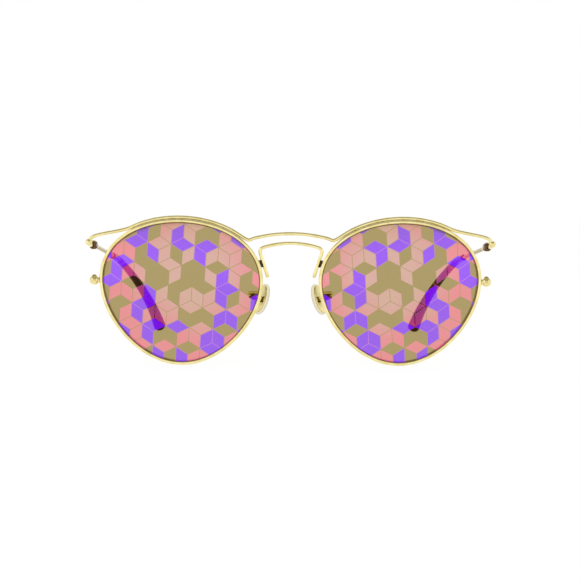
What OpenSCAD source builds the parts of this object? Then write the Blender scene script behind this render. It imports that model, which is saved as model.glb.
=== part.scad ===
// Mirrored sunglasses with round wire rims, a brow wire, a bridge wire and sleeved temples.
// Millimetres. +Z is up, +Y runs from the front to the ears, and +X is the wearer's left.
// With its temples open, the frame stands on the bottoms of its two rims and the ends of its
// two temple tips. The origin is on the ground, under the middle of the open frame.

/* [Lens] */
// Boxed width of a lens
lens_w = 52.9; // [46:0.1:56]
// Boxed height of a lens
lens_h = 46.7; // [42:0.1:52]
// Distance between the two boxed lenses
lens_gap = 20; // [18:0.5:24]
// Thickness of a lens
lens_t = 2; // [1.8:0.1:2.4]
// Radius of the lens's mid surface, base curve 4
lens_curve_r = 132.5; // [88:0.5:265]
// Angle that each lens is turned back at its outer side
wrap_angle = 5; // [0:0.5:8]
// How much wider the top half of the outline is than the bottom half, as a share
pear = 0.176; // [0:0.002:0.2]
// How far the top of the outline leans outward
lean = 0.5; // [0:0.1:1.5]
// How far the upper outer corner of the outline is lifted
lift = 0.15; // [0:0.05:0.8]
// Height of the bevel that runs round the lens's edge
bevel_h = 0.5; // [0.4:0.05:0.8]

/* [Rim] */
// Depth of the rim from front to back
rim_depth = 2; // [1.6:0.1:2.6]
// Width of the rim as seen from the front
rim_w = 1.15; // [1.1:0.05:1.6]
// Metal between the bottom of the groove and the outside of the rim
rim_wall = 0.7; // [0.5:0.05:0.9]
// Rounding of the rim's edges
rim_round = 0.3; // [0.2:0.05:0.35]
// Where the rim is split, in degrees above the outer side
split_angle = 9; // [2:0.5:20]
// Width of the split
split_gap = 0.1; // [0.06:0.02:0.3]

/* [Closing bead] */
// Diameter of the bead that closes the rim
bead_d = 3.2; // [2.8:0.1:3.8]
// Room between the bead's ball and the rim, which its foot bridges
bead_off = 0.1; // [0.1:0.05:0.4]
// Diameter of the bead's foot
bead_foot_d = 1.8; // [1.2:0.1:2.2]
// Diameter of the closing screw
closing_screw_d = 1.2; // [1:0.1:1.4]

/* [Brow wire] */
// Diameter of the brow wire and the bridge wire
wire_d = 1.15; // [1:0.05:1.4]
// Height of the brow wire's middle above its two dips
arch_rise = 2; // [1:0.1:4]
// Height of the brow wire's dips above the middle of the lenses
dip_h = 17.5; // [16:0.1:19]
// Distance from the middle to each dip
dip_x = 13.7; // [12:0.1:15]
// How far the two wires over the nose lie behind the front
arch_y = 0.6; // [0.3:0.1:1]
// Angle at which the wire's two ends turn down into their beads
curl_angle = 51; // [40:1:60]

/* [Bridge wire] */
// Gap between the brow wire and the bridge wire at the middle
wires_gap = 2; // [1:0.1:3]
// Radius of the bridge wire's shallow arch
bridge_arc_r = 30; // [24:0.5:40]
// Half of the bridge wire's width at its bent corners
corner_x = 10.6; // [10.2:0.1:11.2]
// Length of wire that each bent corner takes up on either side
corner_reach = 2.4; // [2.2:0.1:2.8]
// Height of the bridge wire's leg ends above the middle of the lenses
leg_end_h = 5.5; // [4:0.1:8]
// Half of the distance between the leg ends
leg_end_x = 7.7; // [7.2:0.1:8.6]
// Height of the bridge posts
post_h = 2.3; // [1.5:0.1:3]
// Depth of the bridge posts from front to back
post_depth = 1.1; // [0.9:0.1:1.4]
// Height of the middle of the bridge posts above the middle of the lenses
post_up = 9.8; // [8:0.1:12]

/* [Hinge] */
// Diameter of the bead at each end of the brow wire
end_bead_d = 2.3; // [2:0.1:2.8]
// How far the end bead stands outside the hinge's axis
end_bead_out = 1; // [0.8:0.1:2]
// How far the end bead stands in front of the hinge's axis
end_bead_fore = 6; // [5.5:0.1:7]
// How far the end bead stands above the middle of the hinge
end_bead_up = 1.2; // [1:0.1:2.2]
// Diameter of the neck between the end bead and the hinge
neck_d = 1.6; // [1.3:0.1:1.8]
// Diameter of the hinge knuckles
knuckle_d = 2.6; // [2.2:0.1:3]
// Height of the whole hinge barrel
barrel_h = 2.6; // [2.4:0.1:4]
// Thickness of the web that joins the two outer knuckles
fork_wall = 1; // [0.8:0.1:1.4]
// Diameter of the hinge screw
hinge_screw_d = 1; // [0.9:0.1:1.2]
// Distance of the hinge's axis from the middle
hinge_x = 65.9; // [64:0.1:72]
// Distance of the hinge's axis behind the front
hinge_y = 11.5; // [11:0.1:14]
// Height of the hinge above the middle of the lenses
hinge_h = 15; // [12:0.1:18]

/* [Temple] */
// Diameter of the temple wire
temple_d = 1.4; // [1.2:0.1:1.6]
// Length of the socket that holds the temple wire
socket_len = 3.2; // [2.5:0.1:4]
// Thickness of the socket's wall
socket_wall = 0.45; // [0.35:0.05:0.6]
// Length from the hinge's axis to where the temple begins to bend
straight_len = 80; // [70:0.5:90]
// Angle at which the straight part falls towards the ear
temple_fall = 5.4; // [0:0.2:8]
// How far the bent part reaches back
drop_back = 40.5; // [34:0.5:46]
// How far the bent part curves inward
drop_in = 14; // [8:0.2:18]
// Length of bare wire before the sleeve
bare_len = 68; // [40:0.5:74]
// Diameter of the sleeve where it begins
sleeve_d = 2.3; // [2.1:0.1:2.8]
// Diameter of the sleeve at its thick end
tip_d = 5; // [3.6:0.1:5.6]
// How late along the bend the sleeve swells
tip_swell = 2.6; // [1:0.1:4]
// Length of solid sleeve beyond the end of the wire
tip_solid = 9; // [6:0.5:14]

/* [Nose pad] */
// Height of a nose pad
pad_h = 10.6; // [10:0.1:14]
// Width of a nose pad from front to back
pad_w = 7; // [6:0.1:8]
// Thickness of the soft part of a nose pad
pad_t = 1.6; // [1.2:0.1:2.2]
// Thickness of the metal plate behind it
plate_t = 0.6; // [0.5:0.05:0.8]
// Distance of a pad's middle from the middle of the frame
pad_x = 9.8; // [9.3:0.1:11]
// Distance of a pad's middle behind the front
pad_y = 9.5; // [8.5:0.1:12]
// Height of a pad's middle above the middle of the lenses
pad_z = -2.6; // [-6:0.1:0]
// Angle by which a pad's front edge is turned towards the nose
pad_splay = 30; // [20:1:38]
// Angle by which a pad's top leans towards the nose
pad_lean = 20; // [12:1:26]

/* [Pad box] */
// Distance from the plate to the pad's screw
boss_len = 1.85; // [1.6:0.05:2.2]
// Width of the boss behind the plate
boss_w = 1.2; // [1:0.05:1.4]
// Diameter of the boss round the screw
boss_d = 1.5; // [1.3:0.05:1.7]
// Wall of the box on either side of the boss
box_side = 0.6; // [0.5:0.05:0.8]
// Wall at the back of the box
box_wall = 0.5; // [0.4:0.05:0.7]
// Depth of the box
box_depth = 2.1; // [1.9:0.05:2.4]
// Height of the box
box_h = 2.2; // [1.7:0.05:2.4]
// Diameter of the pad's screw
pad_screw_d = 0.8; // [0.7:0.05:0.9]
// Diameter of the pad arm's wire
arm_d = 0.9; // [0.8:0.05:1]
// How far the pad arm bows back from the rim
arm_bow = 1.8; // [1.4:0.1:2.2]
// How far the pad arm climbs before it turns to the box
arm_climb = 1.4; // [1:0.1:2.4]
// How far the pad arm reaches out past the box before it turns
arm_reach = 2.2; // [1.8:0.1:3]

/* [Fits] */
// Room between the lens's bevel and the groove, and between the temple wire and its sleeve
seat_gap = 0.05; // [0.03:0.01:0.08]
// Radial room of the screws and pins in their bores
running_gap = 0.05; // [0.03:0.01:0.08]
// Room between the knuckles of a hinge, and between a pad's boss and its box
axial_gap = 0.05; // [0.03:0.01:0.1]
// Room that the solder or the drawn-up screw fills between pieces that don't move
braze_gap = 0.02; // [0.01:0.005:0.03]

/* [Hidden] */
$fn = 32;

gold = [0.86, 0.76, 0.45];
smoke_violet = [0.62, 0.42, 0.86, 0.85];
tortoise = [0.16, 0.09, 0.05];
clear_soft = [0.93, 0.90, 0.78, 0.6];

// How finely the swept pieces are cut
around = 72;
wire_sides = 12;
arm_sides = 10;
pad_sides = 24;
// Overlap where two forms of one piece join
melt = 0.01;

// Small helpers on points
function unit(v) = v / norm(v);
function mix(a, b, s) = a * (1 - s) + b * s;
function bezier_at(p, s) =
    p[0] * pow(1 - s, 3) + p[1] * 3 * s * pow(1 - s, 2) + p[2] * 3 * s * s * (1 - s) + p[3] * pow(s, 3);
function bezier(p, n) = [for (i = [0:n]) bezier_at(p, i / n)];
function but_first(a) = [for (i = [1:1:len(a) - 1]) a[i]];
function reversed(a) = [for (i = [len(a) - 1:-1:0]) a[i]];
function mirrored(a) = [for (p = a) [-p[0], p[1], p[2]]];
function column(a, k) = [for (p = a) p[k]];
// Angle about Y that leans an upright piece along the upward direction v
function lean_of(v) = atan2(v[0], v[2]);
// Turns that point an upright piece along the direction v
function aim(v) = [0, acos(v[2]), atan2(v[1], v[0])];
function tangent(path, i) = unit(path[min(i + 1, len(path) - 1)] - path[max(i - 1, 0)]);

// A ring of points round c, square to the direction t, with its first axis square to ref
function ring(c, t, ref, r, sides) =
    let (a = unit(cross(t, ref)), b = cross(t, a))
    [for (i = [0:sides - 1]) c + r * (a * cos(i * 360 / sides) + b * sin(i * 360 / sides))];

// Rings along a path, with one radius at each point
function wire_rings(path, radii, ref, sides) =
    [for (i = [0:len(path) - 1]) ring(path[i], tangent(path, i), ref, radii[i], sides)];

// A closed solid through rings of equal size. A given point closes an end as a cone, and
// otherwise the ring itself closes it.
module loft(rings, first, last) {
    n = len(rings[0]);
    count = len(rings);
    points = concat([for (r = rings) each r], is_undef(first) ? [] : [first], is_undef(last) ? [] : [last]);
    first_at = n * count;
    last_at = n * count + (is_undef(first) ? 0 : 1);
    sides = [for (k = [0:count - 2], i = [0:n - 1], half = [0, 1])
        let (a = k * n + i, b = k * n + (i + 1) % n)
        half == 0 ? [a, a + n, b] : [b, a + n, b + n]];
    start = is_undef(first)
        ? [[for (i = [0:n - 1]) i]]
        : [for (i = [0:n - 1]) [first_at, i, (i + 1) % n]];
    end = is_undef(last)
        ? [[for (i = [n - 1:-1:0]) (count - 1) * n + i]]
        : [for (i = [0:n - 1]) [last_at, (count - 1) * n + (i + 1) % n, (count - 1) * n + i]];
    polyhedron(points, concat(sides, start, end));
}

// The lens outline. Its raw form is an oval that is wider at the top, and it is stretched
// so that its box is exactly the boxed size.
function raw_outline(t) = [
    lens_w / 2 * (cos(t) + pear * sin(t) * cos(t)) + lean * sin(t),
    lens_h / 2 * sin(t) + lift * sin(2 * t)
];
raw_points = [for (i = [0:359]) raw_outline(i)];
raw_low = [min(column(raw_points, 0)), min(column(raw_points, 1))];
raw_high = [max(column(raw_points, 0)), max(column(raw_points, 1))];
stretch = [lens_w / (raw_high[0] - raw_low[0]), lens_h / (raw_high[1] - raw_low[1])];
function outline(t) = [for (k = [0, 1]) (raw_outline(t)[k] - (raw_low[k] + raw_high[k]) / 2) * stretch[k]];
function outline_way(t) = unit(outline(t + 0.5) - outline(t - 0.5));
// A point on the outline, moved outward by n
function offset_outline(t, n) = outline(t) + n * [outline_way(t)[1], -outline_way(t)[0]];

// The lens's mid surface is part of a sphere, turned back by the wrap angle
lens_x = (lens_gap + lens_w) / 2;
lens_z = lens_h / 2 + rim_wall + seat_gap;
function on_lens(p, depth) =
    let (y = lens_curve_r - sqrt(pow(lens_curve_r, 2) - p[0] * p[0] - p[1] * p[1]) + depth)
    [
        lens_x + p[0] * cos(wrap_angle) - y * sin(wrap_angle),
        p[0] * sin(wrap_angle) + y * cos(wrap_angle),
        lens_z + p[1]
    ];
// A point n outside the outline and depth behind the rim's middle
function rim_point(t, n, depth) =
    let (base = on_lens(outline(t), 0), out = on_lens(offset_outline(t, 1), 0) - base)
    base + n * unit([out[0], 0, out[2]]) + depth * [0, 1, 0];
// Upward direction of the rim at its outer side, and of its nose side where t passes 90
function rim_up(t) = rim_point(t + 1, 0, 0) - rim_point(t - 1, 0, 0);

// Rim: a channel swept round the outline, open at the split
rim_out = rim_wall + seat_gap;
rim_in = rim_out - rim_w;
rim_half = rim_depth / 2;
// Half of the groove's width at its mouth and at its floor
groove_half = bevel_h * 0.85;
groove_floor = bevel_h * 0.13;
rim_section = [
    [rim_out, -rim_half + rim_round],
    [rim_out, rim_half - rim_round],
    [rim_out - rim_round, rim_half],
    [rim_in + rim_round / 2, rim_half],
    [rim_in, rim_half - rim_round],
    [rim_in, groove_half],
    [seat_gap, groove_floor],
    [seat_gap, -groove_floor],
    [rim_in, -groove_half],
    [rim_in, -rim_half + rim_round],
    [rim_in + rim_round / 2, -rim_half],
    [rim_out - rim_round, -rim_half]
];
split_turn = split_gap / lens_w * 180 / PI;
function rim_ring(t) = [for (p = rim_section) rim_point(t, p[0], p[1])];
module rim() {
    from = split_angle + split_turn;
    sweep = 360 - 2 * split_turn;
    color(gold) loft([for (i = [0:around]) rim_ring(from + sweep * i / around)]);
}

// Lens: two spherical faces and a bevelled edge
bevel_half = bevel_h * 0.8;
dome_steps = [0.15, 0.4, 0.65, 0.85];
function lens_ring(share, depth) = [for (i = [0:around - 1])
    on_lens(offset_outline(split_angle + i * 360 / around, -bevel_h) * share, depth)];
function edge_ring(n, depth) = [for (i = [0:around - 1])
    rim_point(split_angle + i * 360 / around, n, depth)];
module lens() {
    half = lens_t / 2;
    rings = concat(
        [for (s = dome_steps) lens_ring(s, -half)],
        [
            edge_ring(-bevel_h, -half),
            edge_ring(-bevel_h, -bevel_half),
            edge_ring(0, 0),
            edge_ring(-bevel_h, bevel_half),
            edge_ring(-bevel_h, half)
        ],
        [for (s = reversed(dome_steps)) lens_ring(s, half)]
    );
    color(smoke_violet) loft(reversed(rings), on_lens([0, 0], half), on_lens([0, 0], -half));
}

// Closing bead: a split ball beside the rim, turned to follow it
bead_r = bead_d / 2;
bead_at = rim_point(split_angle, rim_out + bead_r + bead_off, 0);
bead_tilt = lean_of(rim_up(split_angle));
closing_head_d = closing_screw_d * 1.5;
closing_head_h = closing_screw_d * 0.3;
// How far the screw's head is sunk, the room round it, and how far its shank ends inside the ball
head_sink = bead_d * 0.076;
head_room = bead_d * 0.076;
shank_short = bead_d * 0.06;
module at_bead() {
    translate(bead_at) rotate([0, bead_tilt, 0]) children();
}
module bead_half(up) {
    foot_len = bead_r + bead_off - braze_gap;
    cut = 2 * bead_d;
    color(gold) at_bead() difference() {
        union() {
            sphere(bead_r);
            translate([-foot_len, 0, 0]) rotate([0, 90, 0]) cylinder(d = bead_foot_d, h = foot_len);
        }
        translate([-cut / 2, -cut / 2, up ? split_gap / 2 - cut : -split_gap / 2]) cube(cut);
        translate([0, 0, -bead_d])
            cylinder(d = closing_screw_d + 2 * running_gap, h = 2 * bead_d);
        if (up) translate([0, 0, bead_r - head_sink])
            cylinder(d = closing_head_d + 2 * head_room, h = bead_d);
    }
}
module closing_bead_upper() bead_half(true);
module closing_bead_lower() bead_half(false);

// Slotted screw with a domed head. Its shank runs down from the head's seat.
module screw(d, head_d, head_h, length) {
    dome_r = (pow(head_d / 2, 2) + pow(head_h, 2)) / (2 * head_h);
    slot_w = d * 0.17;
    difference() {
        union() {
            translate([0, 0, -length]) cylinder(d = d, h = length + melt);
            intersection() {
                cylinder(d = head_d, h = head_h);
                translate([0, 0, head_h - dome_r]) sphere(dome_r);
            }
        }
        translate([-head_d, -slot_w / 2, head_h / 2]) cube([2 * head_d, slot_w, head_h]);
    }
}
module closing_screw() {
    color(gold) at_bead() translate([0, 0, bead_r - head_sink + braze_gap])
        screw(closing_screw_d, closing_head_d, closing_head_h + head_sink, bead_d - head_sink - shank_short);
}

// Brow wire: an arch over the nose, a dip, the run along the rim and the way out to the bead.
// It lies against the rim between the two turns, and the pulls shape its free bends.
wire_r = wire_d / 2;
on_rim = rim_out + wire_r + 1.5 * braze_gap;
join_turn = 128;
leave_turn = 59;
dip_pull = dip_x * 0.184;
join_pull = dip_x * 0.397;
leave_pull = wire_d * 3.5;
curl_pull = wire_d * 1.75;
end_bead_r = end_bead_d / 2;
end_bead_at = [hinge_x + end_bead_out, hinge_y - end_bead_fore, lens_z + hinge_h + end_bead_up];
// The wire's last piece is straight and ends inside the bead, a little to the bead's outer side
end_way = unit([cos(curl_angle), 0.1, -sin(curl_angle)]);
end_side = [sin(curl_angle), 0, cos(curl_angle)];
wire_end = end_bead_at + end_bead_r * (0.3 * end_way + 0.2 * end_side);
wire_turn = wire_end - end_way * end_bead_d * 0.85;
arch_r = (dip_x * dip_x + arch_rise * arch_rise) / (2 * arch_rise);
arch_turn = asin(dip_x / arch_r) * 0.86;
function arch_point(a) = [arch_r * sin(a), arch_y, lens_z + dip_h + arch_rise - arch_r * (1 - cos(a))];
arch_way = [cos(arch_turn), 0, -sin(arch_turn)];
brow_half = concat(
    [for (i = [0:5]) arch_point(arch_turn * i / 5)],
    but_first(bezier([
        arch_point(arch_turn),
        arch_point(arch_turn) + arch_way * dip_pull,
        rim_point(join_turn, on_rim, 0) + unit(rim_point(join_turn + 1, on_rim, 0)
            - rim_point(join_turn - 1, on_rim, 0)) * join_pull,
        rim_point(join_turn, on_rim, 0)
    ], 10)),
    [for (i = [1:15]) rim_point(mix(join_turn, leave_turn, i / 15), on_rim, 0)],
    but_first(bezier([
        rim_point(leave_turn, on_rim, 0),
        rim_point(leave_turn, on_rim, 0) + unit(rim_point(leave_turn - 1, on_rim, 0)
            - rim_point(leave_turn + 1, on_rim, 0)) * leave_pull,
        wire_turn - end_way * curl_pull,
        wire_turn
    ], 10)),
    [wire_end]
);
brow_path = concat(reversed(mirrored(but_first(brow_half))), brow_half);
module brow_wire() {
    radii = [for (p = brow_path) wire_r];
    color(gold) loft(wire_rings(brow_path, radii, [0, 1, 0], wire_sides));
}

// Bridge wire: a flatter arch with bent corners and two legs that end free, with rounded ends
bridge_top = lens_z + dip_h + arch_rise - wire_d - wires_gap;
bridge_turn = asin((corner_x - corner_reach) / bridge_arc_r);
leg_end = [leg_end_x, arch_y, lens_z + leg_end_h];
function bridge_arc(a) = [bridge_arc_r * sin(a), arch_y, bridge_top - bridge_arc_r * (1 - cos(a))];
corner = [corner_x, arch_y, bridge_arc(bridge_turn)[2] - corner_reach / 4];
leg_way = unit(leg_end - corner);
leg_start = corner + leg_way * corner_reach;
bridge_half = concat(
    [for (i = [0:3]) bridge_arc(bridge_turn * i / 3)],
    but_first(bezier([
        bridge_arc(bridge_turn),
        bridge_arc(bridge_turn) + [cos(bridge_turn), 0, -sin(bridge_turn)] * corner_reach * 0.83,
        leg_start - leg_way * corner_reach * 0.83,
        leg_start
    ], 8)),
    [leg_end, leg_end + leg_way * wire_r * 0.6, leg_end + leg_way * wire_r * 0.95]
);
bridge_path = concat(reversed(mirrored(but_first(bridge_half))), bridge_half);
bridge_last = len(bridge_path) - 1;
module bridge_wire() {
    radii = [for (i = [0:bridge_last])
        let (k = min(i, bridge_last - i))
        wire_r * (k == 0 ? 0.35 : k == 1 ? 0.8 : 1)];
    color(gold) loft(wire_rings(bridge_path, radii, [0, 1, 0], wire_sides));
}

// Bridge post: a short block between a leg and its rim, hollowed to sit against the wire
post_turn = 180 - asin(post_up / (lens_h / 2)) * 0.96;
post_rim = rim_point(post_turn, rim_out, 0);
leg_lean = lean_of(corner - leg_end);
leg_at_post = mix(leg_start, leg_end, (leg_start[2] - post_rim[2]) / (leg_start[2] - leg_end[2]));
module bridge_post() {
    reach = post_rim[0] - leg_at_post[0];
    cut = 2 * (reach + post_h);
    color(gold) difference() {
        translate([leg_at_post[0], arch_y - post_depth / 2, post_rim[2] - post_h / 2])
            cube([reach + post_h / 2, post_depth, post_h]);
        translate(leg_at_post) rotate([0, leg_lean, 0])
            cylinder(r = wire_r + braze_gap, h = 2 * cut, center = true);
        translate(leg_at_post) rotate([0, leg_lean, 0])
            translate([-cut, -cut / 2, -cut]) cube([cut, cut, 2 * cut]);
        translate(post_rim) rotate([0, lean_of(-rim_up(post_turn)), 0])
            translate([-2 * braze_gap, -cut / 2, -cut]) cube([cut, cut, 2 * cut]);
    }
}

// Hinge: a vertical barrel of three knuckles behind the end bead, rounded like a ball so that its
// flat ends just carry the screw's head. The middle knuckle turns in a pocket with room round it,
// a round web joins the other two in front, and the neck leads from it to the bead.
hinge_at = [hinge_x, hinge_y, lens_z + hinge_h];
knuckle_r = knuckle_d / 2;
pocket_room = knuckle_d * 0.0625;
mid_h = barrel_h * 0.38;
hinge_head_d = hinge_screw_d * 1.5;
hinge_head_h = hinge_screw_d * 0.35;
barrel_ball_r = norm([hinge_head_d, barrel_h]) / 2;
// How far a screw's end reaches past the piece that it holds
screw_end = 0.1;
module barrel(h) {
    intersection() {
        translate([0, 0, -h / 2]) cylinder(r = knuckle_r, h = h);
        sphere(barrel_ball_r);
    }
}
module hinge_front() {
    bead = end_bead_at - hinge_at;
    neck = bead - [0, 0, end_bead_r * 0.35];
    fork_y = -knuckle_r - pocket_room;
    web_len = fork_wall - fork_y;
    web_d = min(knuckle_d, barrel_h) * 0.96;
    neck_end = [neck[0] * 0.35, fork_y - fork_wall * 0.7, 0];
    color(gold) translate(hinge_at) difference() {
        union() {
            barrel(barrel_h);
            intersection() {
                rotate([90, 0, 0]) cylinder(d = web_d, h = web_len);
                sphere(web_len * 1.08);
            }
            translate(bead) sphere(end_bead_r);
            translate(neck) rotate(aim(unit(neck_end - neck)))
                cylinder(d = neck_d, h = norm(neck_end - neck));
        }
        translate([0, 0, -mid_h / 2 - axial_gap])
            cylinder(r = knuckle_r + pocket_room, h = mid_h + 2 * axial_gap);
        translate([0, 0, -barrel_h])
            cylinder(d = hinge_screw_d + 2 * running_gap, h = 2 * barrel_h);
        translate(wire_end - hinge_at + end_way * braze_gap) rotate(aim(-end_way))
            cylinder(r = wire_r + braze_gap, h = 2 * end_bead_d);
    }
}
module hinge_screw() {
    color(gold) translate(hinge_at + [0, 0, barrel_h / 2 + braze_gap])
        screw(hinge_screw_d, hinge_head_d, hinge_head_h, barrel_h + screw_end);
}

// Temple: a straight run that falls towards the ear, then one long bend down and inward
fall_way = [0, cos(temple_fall), -sin(temple_fall)];
bend_at = hinge_at + fall_way * straight_len;
tip_end = [hinge_x - drop_in, bend_at[1] + drop_back, tip_d * 0.41];
bend_points = [
    bend_at,
    bend_at + fall_way * drop_back * 0.37,
    [mix(bend_at[0], tip_end[0], 0.7), bend_at[1] + drop_back * 0.68, mix(bend_at[2], tip_end[2], 0.44)],
    tip_end
];
bend_steps = 16;
bend_path = bezier(bend_points, bend_steps);
// Distance from the hinge's axis to the end of the wire in its socket, and to the socket's face
wire_seat = knuckle_r + socket_wall * 2;
socket_face = knuckle_r + socket_wall * 0.78;
sleeve_from = hinge_at + fall_way * bare_len;
sleeve_path = concat([sleeve_from, mix(sleeve_from, bend_at, 0.5)], bend_path);
sleeve_last = len(sleeve_path) - 1;
wire_last = 2 + floor(bend_steps * (1 - tip_solid / norm(tip_end - bend_at)));
wire_path = concat([hinge_at + fall_way * wire_seat], [for (i = [0:wire_last]) sleeve_path[i]]);
module hinge_temple() {
    color(gold) translate(hinge_at) difference() {
        union() {
            barrel(mid_h);
            translate([-mid_h * 0.6, 0, -mid_h / 2]) cube([mid_h * 1.2, wire_seat, mid_h]);
            rotate([-90 - temple_fall, 0, 0]) translate([0, 0, socket_face])
                cylinder(d = temple_d + 2 * socket_wall, h = socket_len);
        }
        translate([0, 0, -barrel_h])
            cylinder(d = hinge_screw_d + 2 * running_gap, h = 2 * barrel_h);
        rotate([-90 - temple_fall, 0, 0]) translate([0, 0, wire_seat - braze_gap])
            cylinder(d = temple_d + 2 * braze_gap, h = 2 * socket_len);
    }
}
module temple_wire() {
    radii = [for (p = wire_path) temple_d / 2];
    color(gold) loft(wire_rings(wire_path, radii, [1, 0, 0], wire_sides));
}

// Temple tip: a sleeve with a blind bore, thin where it begins and a thick rounded end.
// Its straight part swells slowly and its bent part faster.
knee_d = sleeve_d * 1.12;
bore_past = seat_gap * 6;
function tip_radius(i) = i < 2
    ? mix(sleeve_d, knee_d, i / 2) / 2
    : mix(knee_d, tip_d, pow((i - 2) / (sleeve_last - 2), tip_swell)) / 2;
end_depth = tip_d * 0.36;
end_rings = [[0.25, 0.97], [0.5, 0.87], [0.75, 0.66], [0.92, 0.4]];
module temple_tip() {
    side = [1, 0, 0];
    end_way = tangent(sleeve_path, sleeve_last);
    bore_way = tangent(sleeve_path, wire_last);
    bore_r = temple_d / 2 + seat_gap;
    bore = concat(
        [ring(sleeve_path[wire_last] + bore_way * bore_past, bore_way, side, bore_r, wire_sides)],
        [for (i = [wire_last:-1:0])
            ring(sleeve_path[i], tangent(sleeve_path, i), side, bore_r, wire_sides)]
    );
    outer = wire_rings(sleeve_path, [for (i = [0:sleeve_last]) tip_radius(i)], side, wire_sides);
    rounded = [for (e = end_rings)
        ring(tip_end + end_way * end_depth * e[0], end_way, side, tip_d / 2 * e[1], wire_sides)];
    color(tortoise) loft(concat(bore, outer, rounded), undef, tip_end + end_way * end_depth);
}

// Nose pad: everything here is drawn in the pad's own frame, with +X pointing away from the nose,
// Y across the pad and Z along it
module at_pad() {
    translate([pad_x, pad_y, lens_z + pad_z]) rotate([0, 0, -pad_splay]) rotate([0, -pad_lean, 0])
        children();
}
// The same placing for a point
function pad_place(p) =
    let (
        q = [p[0] * cos(pad_lean) - p[2] * sin(pad_lean), p[1], p[0] * sin(pad_lean) + p[2] * cos(pad_lean)]
    )
    [
        pad_x + q[0] * cos(pad_splay) + q[1] * sin(pad_splay),
        pad_y - q[0] * sin(pad_splay) + q[1] * cos(pad_splay),
        lens_z + pad_z + q[2]
    ];
// Pad outline: an egg that is a little narrower at the top
function pad_outline(x, grow) = [for (i = [0:pad_sides - 1])
    let (a = i * 360 / pad_sides)
    [x, (pad_w / 2 * grow) * cos(a) * (1 - 0.12 * sin(a)), (pad_h / 2 * grow) * sin(a)]];
module nose_pad() {
    rings = [
        pad_outline(-braze_gap, 0.93),
        pad_outline(-0.3 * pad_t, 1),
        pad_outline(-0.6 * pad_t, 0.97),
        pad_outline(-0.85 * pad_t, 0.82),
        pad_outline(-0.97 * pad_t, 0.5)
    ];
    color(clear_soft) at_pad() loft(reversed(rings), [-pad_t, 0, 0]);
}

// Pad insert: the plate behind the soft pad, with the boss that the screw runs through
screw_x = plate_t + boss_len;
module pad_insert() {
    color(gold) at_pad() difference() {
        union() {
            loft([pad_outline(0, 0.9), pad_outline(plate_t / 2, 0.9), pad_outline(plate_t, 0.8)]);
            translate([plate_t / 2, -boss_w / 2, -boss_d / 2])
                cube([screw_x - plate_t / 2, boss_w, boss_d]);
            translate([screw_x, boss_w / 2, 0]) rotate([90, 0, 0])
                cylinder(d = boss_d, h = boss_w);
        }
        translate([screw_x, boss_w, 0]) rotate([90, 0, 0])
            cylinder(d = pad_screw_d + 2 * running_gap, h = 2 * boss_w);
    }
}

// Pad box: open towards the nose, with a cheek on each side of the boss
box_w = boss_w + 2 * box_side + 2 * axial_gap;
box_inside = screw_x + boss_d / 2 + box_wall * 0.6;
module pad_box() {
    color(gold) at_pad() difference() {
        translate([box_inside + box_wall - box_depth, -box_w / 2, -box_h / 2])
            cube([box_depth, box_w, box_h]);
        translate([box_inside - 2 * box_depth, -boss_w / 2 - axial_gap, -box_h])
            cube([2 * box_depth, boss_w + 2 * axial_gap, 2 * box_h]);
        translate([screw_x, box_w, 0]) rotate([90, 0, 0])
            cylinder(d = pad_screw_d + 2 * braze_gap, h = 2 * box_w);
    }
}
module pad_screw() {
    color(gold) at_pad() translate([screw_x, -box_w / 2 - braze_gap, 0]) rotate([90, 0, 0])
        screw(pad_screw_d, pad_screw_d * 1.6, pad_screw_d * 0.44, box_w + screw_end);
}

// Pad arm: a thin wire from the back of the rim, round behind the lens, to the pad's box.
// Its foot lies along the rim and its other end stands square on the back of the box.
arm_turn = 183;
foot_half = arm_d * 1.1;
arm_foot = rim_point(arm_turn, rim_in + rim_w / 2, rim_half + arm_d / 2 + braze_gap);
arm_end = pad_place([box_inside + box_wall + braze_gap, 0, 0]);
arm_out = pad_place([1, 0, 0]) - pad_place([0, 0, 0]);
arm_straight = arm_d * 0.67;
module pad_arm() {
    bend = bezier([
        arm_foot + [0, 0, foot_half],
        arm_foot + [arm_bow / 3, arm_bow, arm_climb],
        arm_end + arm_out * arm_reach + [0, 0, arm_bow / 3],
        arm_end + arm_out * arm_straight
    ], 16);
    path = concat([arm_foot - [0, 0, foot_half]], bend, [arm_end + arm_out * arm_straight / 2, arm_end]);
    radii = [for (p = path) arm_d / 2];
    color(gold) loft(wire_rings(path, radii, [1, 0, 0.2], arm_sides));
}

// The whole frame is moved so that its origin lies under its middle
front_y = -lens_curve_r * (1 - cos(wrap_angle)) - lens_t / 2;
tip_back = tip_end[1] + tip_d * 0.54;
middle_y = (front_y + tip_back) / 2;
module place(left) {
    translate([0, -middle_y, 0]) mirror([left ? 0 : 1, 0, 0]) children();
}

place(true) rim();  // rim_left
place(false) rim();  // rim_right
place(true) lens();  // lens_left
place(false) lens();  // lens_right
place(true) closing_bead_upper();  // closing_bead_upper_left
place(false) closing_bead_upper();  // closing_bead_upper_right
place(true) closing_bead_lower();  // closing_bead_lower_left
place(false) closing_bead_lower();  // closing_bead_lower_right
place(true) closing_screw();  // closing_screw_left
place(false) closing_screw();  // closing_screw_right
place(true) brow_wire();
place(true) bridge_wire();
place(true) bridge_post();  // bridge_post_left
place(false) bridge_post();  // bridge_post_right
place(true) pad_arm();  // pad_arm_left
place(false) pad_arm();  // pad_arm_right
place(true) pad_box();  // pad_box_left
place(false) pad_box();  // pad_box_right
place(true) pad_screw();  // pad_screw_left
place(false) pad_screw();  // pad_screw_right
place(true) pad_insert();  // pad_insert_left
place(false) pad_insert();  // pad_insert_right
place(true) nose_pad();  // nose_pad_left
place(false) nose_pad();  // nose_pad_right
place(true) hinge_front();  // hinge_front_left
place(false) hinge_front();  // hinge_front_right
place(true) hinge_temple();  // hinge_temple_left
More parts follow.
